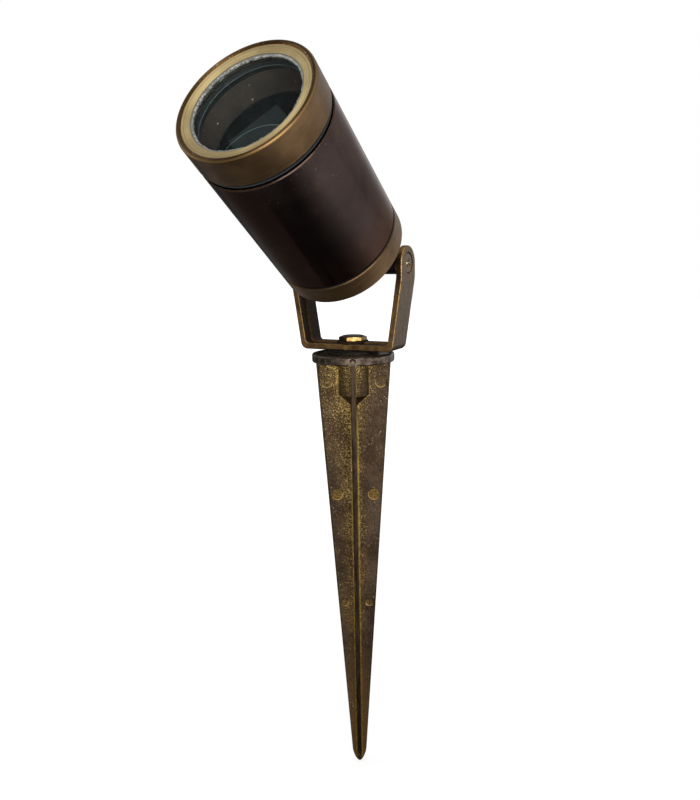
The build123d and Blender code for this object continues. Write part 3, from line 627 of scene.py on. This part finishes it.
def grey_sealant():
    """Silicone bead: grey, with pale flecks where it is torn."""
    g = Graph("grey_sealant")
    point = g.place()
    radius = g.around(g.head_place())[0]
    torn = g.ramp(radius, OPENING_RADIUS - 0.5 * MM, OPENING_RADIUS - 0.8 * MM)
    fleck = g.ramp(g.noise(point, 1100.0, detail=4.0, roughness=0.75), 0.48, 0.58)
    color = g.mix(g.noise(point, 160.0, detail=3.0), srgb(98, 100, 95), srgb(130, 130, 122))
    color = g.cover(color, srgb(204, 203, 193), torn, fleck)
    g.surface(color, 0.55, 0.0, g.bump(g.noise(point, 700.0, detail=4.0, roughness=0.7), 0.12 * MM))
    return g.material


def clear_glass():
    """Clear glass that lets the lamps' light through to what lies behind it."""
    g = Graph("clear_glass")
    smear = g.noise(g.place(), 90.0, detail=4.0, roughness=0.6)
    glass = g.node("ShaderNodeBsdfPrincipled", {
        "Base Color": (0.93, 0.975, 0.965), "Roughness": g.ramp(smear, 0.4, 0.8, 0.0, 0.03),
        "Transmission Weight": 1.0, "IOR": 1.45})
    clear = g.node("ShaderNodeBsdfTransparent", {"Color": (0.9, 0.95, 0.94)})
    shadow = g.node("ShaderNodeLightPath").outputs["Is Shadow Ray"]
    g.show(g.node("ShaderNodeMixShader", {0: shadow, 1: glass.outputs[0], 2: clear.outputs[0]}))
    return g.material


PATCH_TURN = math.radians(46.0)            # the bare patch on the lamp's face: its turn, middle and sides
PATCH_MIDDLE = (-4.5 * MM, 3.5 * MM)
PATCH_ENDS = (-14.0 * MM, 12.0 * MM)
PATCH_SIDES = (-9.0 * MM, 8.5 * MM)
PATCH_SOFT = 0.5 * MM
ARC_MIDDLE = (-2.0 * MM, -13.0 * MM)       # the thin bright arc on the lamp's face
ARC_RADIUS = 19.6 * MM


def lamp_window():
    """The unlit face of the lamp: dark, with a bare paler patch and one thin bright arc."""
    g = Graph("lamp_window")
    point = g.head_place()
    x, y, _ = g.split(point)
    right, up = g.minus(x, PATCH_MIDDLE[0]), g.minus(y, PATCH_MIDDLE[1])
    along = g.plus(g.times(right, math.cos(PATCH_TURN)), g.times(up, math.sin(PATCH_TURN)))
    over = g.minus(g.times(up, math.cos(PATCH_TURN)), g.times(right, math.sin(PATCH_TURN)))
    patch = g.times(g.band(along, *PATCH_ENDS, PATCH_SOFT), g.band(over, *PATCH_SIDES, PATCH_SOFT))
    cloud = g.noise(point, 120.0, detail=4.0, roughness=0.6)
    color = g.mix(g.ramp(cloud, 0.3, 0.7), srgb(19, 24, 25), srgb(27, 33, 34))
    color = g.cover(color, srgb(62, 69, 69), patch, g.ramp(cloud, 0.2, 0.6, 0.55, 0.9))
    from_arc = g.length(g.join(g.minus(x, ARC_MIDDLE[0]), g.minus(y, ARC_MIDDLE[1]), 0.0))
    arc = g.band(from_arc, ARC_RADIUS - 0.15 * MM, ARC_RADIUS + 0.15 * MM, 0.12 * MM)
    color = g.cover(color, srgb(150, 164, 160), arc, 0.8)
    g.surface(color, 0.22, 0.0, g.bump(g.noise(point, 300.0), 0.02 * MM), {"Specular IOR Level": 0.2})
    return g.material


def grained(name, darkest, lightest, scales, detail, depth, roughness, metallic=0.0, specular=0.5):
    """A material with one fine grain in its colour, its bump and, given two values, its roughness."""
    g = Graph(name)
    grain = g.streaks(g.place(), scales, detail)
    if isinstance(roughness, tuple):
        roughness = g.ramp(grain, 0.2, 0.8, *roughness)
    g.surface(g.mix(grain, srgb(*darkest), srgb(*lightest)), roughness, metallic, g.bump(grain, depth),
              {"Specular IOR Level": specular})
    return g.material


# What grained() is given for each plain material.
GRAINED = {
    "zinc_steel": ((150, 152, 156), (190, 192, 196), (300.0, 2500.0, 2500.0), 3.0, 0.01 * MM,
                   (0.28, 0.45), 1.0),
    "black_nylon": ((8, 8, 9), (16, 16, 17), (1800.0,) * 3, 2.0, 0.01 * MM, (0.42, 0.52), 0.0, 0.15),
    "lamp_shell": ((34, 38, 38), (52, 56, 56), (500.0,) * 3, 3.0, 0.03 * MM, (0.5, 0.65), 0.0, 0.15),
    "white_ceramic": ((218, 214, 204), (236, 233, 226), (600.0,) * 3, 4.0, 0.03 * MM, 0.6),
    "white_nylon": ((206, 206, 196), (224, 224, 216), (900.0,) * 3, 3.0, 0.015 * MM, 0.42),
    "lead_sleeve": ((196, 188, 170), (216, 208, 192), (1500.0,) * 3, 3.0, 0.02 * MM, 0.7),
}

MATERIALS = {make.__name__: make() for make in (
    antique_bronze, dark_patina, cast_bronze, spike_casting, plain_brass, dark_screw, black_rubber,
    grey_sealant, clear_glass, lamp_window)}
MATERIALS.update({slot: grained(slot, *finish) for slot, finish in GRAINED.items()})

for part in frame["record"]["subparts"]:
    mesh = nodes[part["node"]].data
    mesh.materials.clear()
    mesh.materials.append(MATERIALS[part["material_slot"]])


# ---- Pieces modelled here ----
def add_object(name, data):
    made = bpy.data.objects.new(name, data)
    bpy.context.scene.collection.objects.link(made)
    return made


def add_piece(name, points, faces, slot, body):
    """A mesh given in the upright head's frame, put in its place and set to ride on a body."""
    mesh = bpy.data.meshes.new(name)
    back = UPRIGHT.inverted()
    mesh.from_pydata([tuple(back @ Vector(point)) for point in points], [], faces)
    mesh.materials.append(MATERIALS[slot])
    mesh.shade_smooth()
    made = add_object(name, mesh)
    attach(made, body)
    return made


def ripple(rng, count, knots):
    """A closed run of random values from -1 to 1, smooth between a number of knots."""
    heights = [rng.uniform(-1.0, 1.0) for _ in range(knots)]
    values = []
    for step in range(count):
        place = step / count * knots
        low = int(place)
        share = place - low
        share = share * share * (3 - 2 * share)
        values.append(heights[low % knots] * (1 - share) + heights[(low + 1) % knots] * share)
    return values


BEAD_STEPS = 720
BEAD_SEED = 7
BEAD_KNOTS = (26, 150, 360, 200)       # of its wander, tears, crumbs and lumps, in the order of the draws
BEAD_REACH = 1.2                       # mm, from the bezel in over the glass
BEAD_RISE = 1.25                       # mm, from the glass up
BEAD_GAP = 0.02 * MM                   # to the bezel
GLASS_GAP = 0.01 * MM
# The bead's section, as shares of its reach and of its rise.
BEAD_SECTION = ((0.0, 0.0), (0.0, 1.0), (0.4, 0.95), (0.75, 0.82), (0.97, 0.55), (1.0, 0.0))


def sealant_bead():
    """The uneven silicone bead between the bezel and the glass, with a torn inner edge."""
    rng = random.Random(BEAD_SEED)
    wander, tear, crumb, lumps = (ripple(rng, BEAD_STEPS, knots) for knots in BEAD_KNOTS)
    outer = OPENING_RADIUS - BEAD_GAP
    seat = GLASS_FRONT + GLASS_GAP
    points, faces, rows = [], [], len(BEAD_SECTION)
    for step in range(BEAD_STEPS):
        angle = 2 * math.pi * step / BEAD_STEPS
        reach = (BEAD_REACH + 0.15 * wander[step] + 0.2 * tear[step] + 0.16 * crumb[step]) * MM
        rise = (BEAD_RISE + 0.08 * lumps[step] + 0.06 * crumb[step]) * MM
        for inward, upward in BEAD_SECTION:
            radius = outer - inward * reach
            points.append((radius * math.cos(angle), radius * math.sin(angle), seat + upward * rise))
        here, there = step * rows, (step + 1) % BEAD_STEPS * rows
        for row in range(rows):
            above = (row + 1) % rows
            faces.append((here + row, here + above, there + above, there + row))
    bead = add_piece("sealant_bead", points, faces, "grey_sealant", "bezel")
    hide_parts("lens_sealant")


sealant_bead()


# ---- Camera, lights and floor ----
# The camera was fitted to the photograph: its place, the directions of its right and its back, and its
# focal length in pixels of a picture 800 pixels high.
CAMERA_PLACE = Vector((185.7, -364.8, 56.75)) * MM
CAMERA_RIGHT = Vector((0.89, 0.455, -0.017))
CAMERA_BACK = Vector((0.45, -0.873, 0.186))
FOCAL_PIXELS = 793.0
PICTURE_HEIGHT = 800.0
SENSOR = 36.0
NEAREST_SEEN = 0.01

# Each lamp's name, place, width and height, and watts. Both point at the yoke.
LAMPS = (("key", (0.8, -1.3, 0.2), (1.2, 1.0), 11.0), ("fill", (-1.3, -0.5, 0.7), (1.0, 1.0), 3.0))
LAMP_TARGET = Vector((0.0, -0.02, 0.03))

WHITE = (1.0, 1.0, 1.0)
DARK = (0.04, 0.04, 0.04)
DIFFUSE_STRENGTH = 0.6                             # the world's light on plain surfaces
FLAG_DIRECTION = Vector((-0.55, -0.12, 0.83))      # a dark flag over the head, seen in reflections
FLAG_FADE = (0.88, 0.96)                           # cosines from its middle, where it begins and is whole

FLOOR_REACH = 4.0
FLOOR_GAP = 0.3 * MM
FLOOR_GREY = (0.8, 0.8, 0.8)
FLOOR_WHITE = 1.3
STRIP_EDGE = (-0.077, -0.07)                       # left edge of the dark strip reflected in the tube
SHADOW_REACH = (0.15, 0.9)                         # the shadow shows most within the first distance
SHADOW_WHITE = 0.6                                 # share of plain white there, and 1 past the second


def add_camera():
    data = bpy.data.cameras.new("camera")
    data.sensor_width = SENSOR
    data.lens = FOCAL_PIXELS / PICTURE_HEIGHT * SENSOR
    data.clip_start = NEAREST_SEEN
    back = CAMERA_BACK.normalized()
    right = (CAMERA_RIGHT - back * CAMERA_RIGHT.dot(back)).normalized()
    turn = Matrix((right, back.cross(right), back)).transposed().to_4x4()
    made = add_object("camera", data)
    made.matrix_world = Matrix.Translation(CAMERA_PLACE) @ turn
    bpy.context.scene.camera = made


def add_lamp(name, place, size, power):
    data = bpy.data.lights.new(name, "AREA")
    data.shape = "RECTANGLE"
    data.size, data.size_y = size
    data.energy = power
    made = add_object(name, data)
    made.location = place
    made.rotation_euler = (LAMP_TARGET - Vector(place)).to_track_quat("-Z", "Y").to_euler()


def add_world():
    """White where it is seen. Reflections show it darker above, in the flag and to the sides."""
    world = bpy.data.worlds.new("studio")
    world.use_nodes = True
    g = Graph.of_tree(world.node_tree, "ShaderNodeOutputWorld")
    path = g.node("ShaderNodeLightPath").outputs
    x, y, z = g.split(g.node("ShaderNodeTexCoord").outputs["Generated"])
    toward = g.vector_math("DOT_PRODUCT", g.join(x, y, z), tuple(FLAG_DIRECTION.normalized()))
    flag = g.ramp(toward, *FLAG_FADE)
    ceiling = g.ramp(z, 0.1, 0.6, 0.0, 0.5)
    left = g.times(g.ramp(x, -0.1, -0.5), g.ramp(z, 0.45, 0.15, 0.45, 0.92))
    right = g.times(g.ramp(x, 0.3, 0.8), g.ramp(z, 0.3, 0.05, 0.0, 0.3))
    front_left = g.times(g.ramp(x, 0.0, -0.5), g.ramp(y, 0.1, -0.4), 0.75)
    reflected = g.mix(g.most(flag, ceiling, left, right, front_left), WHITE, DARK)
    shown = g.mix(path["Is Camera Ray"], reflected, WHITE)
    clear = g.most(path["Is Camera Ray"], path["Is Glossy Ray"], path["Is Transmission Ray"])
    lit = g.node("ShaderNodeBackground", {"Color": WHITE, "Strength": DIFFUSE_STRENGTH})
    seen = g.node("ShaderNodeBackground", {"Color": shown, "Strength": 1.0})
    g.show(g.node("ShaderNodeMixShader", {0: clear, 1: lit.outputs[0], 2: seen.outputs[0]}))
    bpy.context.scene.world = world


def floor_material():
    """White, with the object's shadow near it, and darker in reflections to the left and below the head."""
    g = Graph("floor")
    path = g.node("ShaderNodeLightPath").outputs
    x, y, _ = g.split(g.place())
    left = g.times(g.ramp(x, -0.08, -0.7, 0.17, 0.32), g.ramp(x, -0.45, -1.1, 1.0, 0.3))
    right = g.plus(g.ramp(x, 0.08, 0.22, 0.07, 0.2), g.ramp(x, 0.15, 0.47, 0.0, 0.8))
    beside = g.ramp(x, *STRIP_EDGE)
    tone = g.plus(g.times(beside, right), g.times(g.without(beside), left))
    tone = g.most(tone, g.ramp(y, -0.02, -0.1, 0.0, 0.25))
    far = g.ramp(g.length(g.place()), *SHADOW_REACH, SHADOW_WHITE, 1.0)
    plain = g.node("ShaderNodeBsdfDiffuse", {"Color": FLOOR_GREY})
    white = g.node("ShaderNodeEmission", {"Color": WHITE, "Strength": FLOOR_WHITE})
    mirrored = g.node("ShaderNodeEmission", {"Color": WHITE, "Strength": tone})
    seen = g.node("ShaderNodeMixShader", {
        0: g.times(path["Is Camera Ray"], far), 1: plain.outputs[0], 2: white.outputs[0]})
    g.show(g.node("ShaderNodeMixShader", {
        0: path["Is Glossy Ray"], 1: seen.outputs[0], 2: mirrored.outputs[0]}))
    return g.material


def add_floor():
    level = cad_box[0].z - FLOOR_GAP
    corners = [(x * FLOOR_REACH, y * FLOOR_REACH, level) for x, y in ((-1, -1), (1, -1), (1, 1), (-1, 1))]
    mesh = bpy.data.meshes.new("floor")
    mesh.from_pydata(corners, [], [(0, 1, 2, 3)])
    mesh.materials.append(floor_material())
    add_object("floor", mesh)


add_camera()
for lamp in LAMPS:
    add_lamp(*lamp)
add_world()
add_floor()
bpy.context.scene.view_settings.view_transform = "Standard"
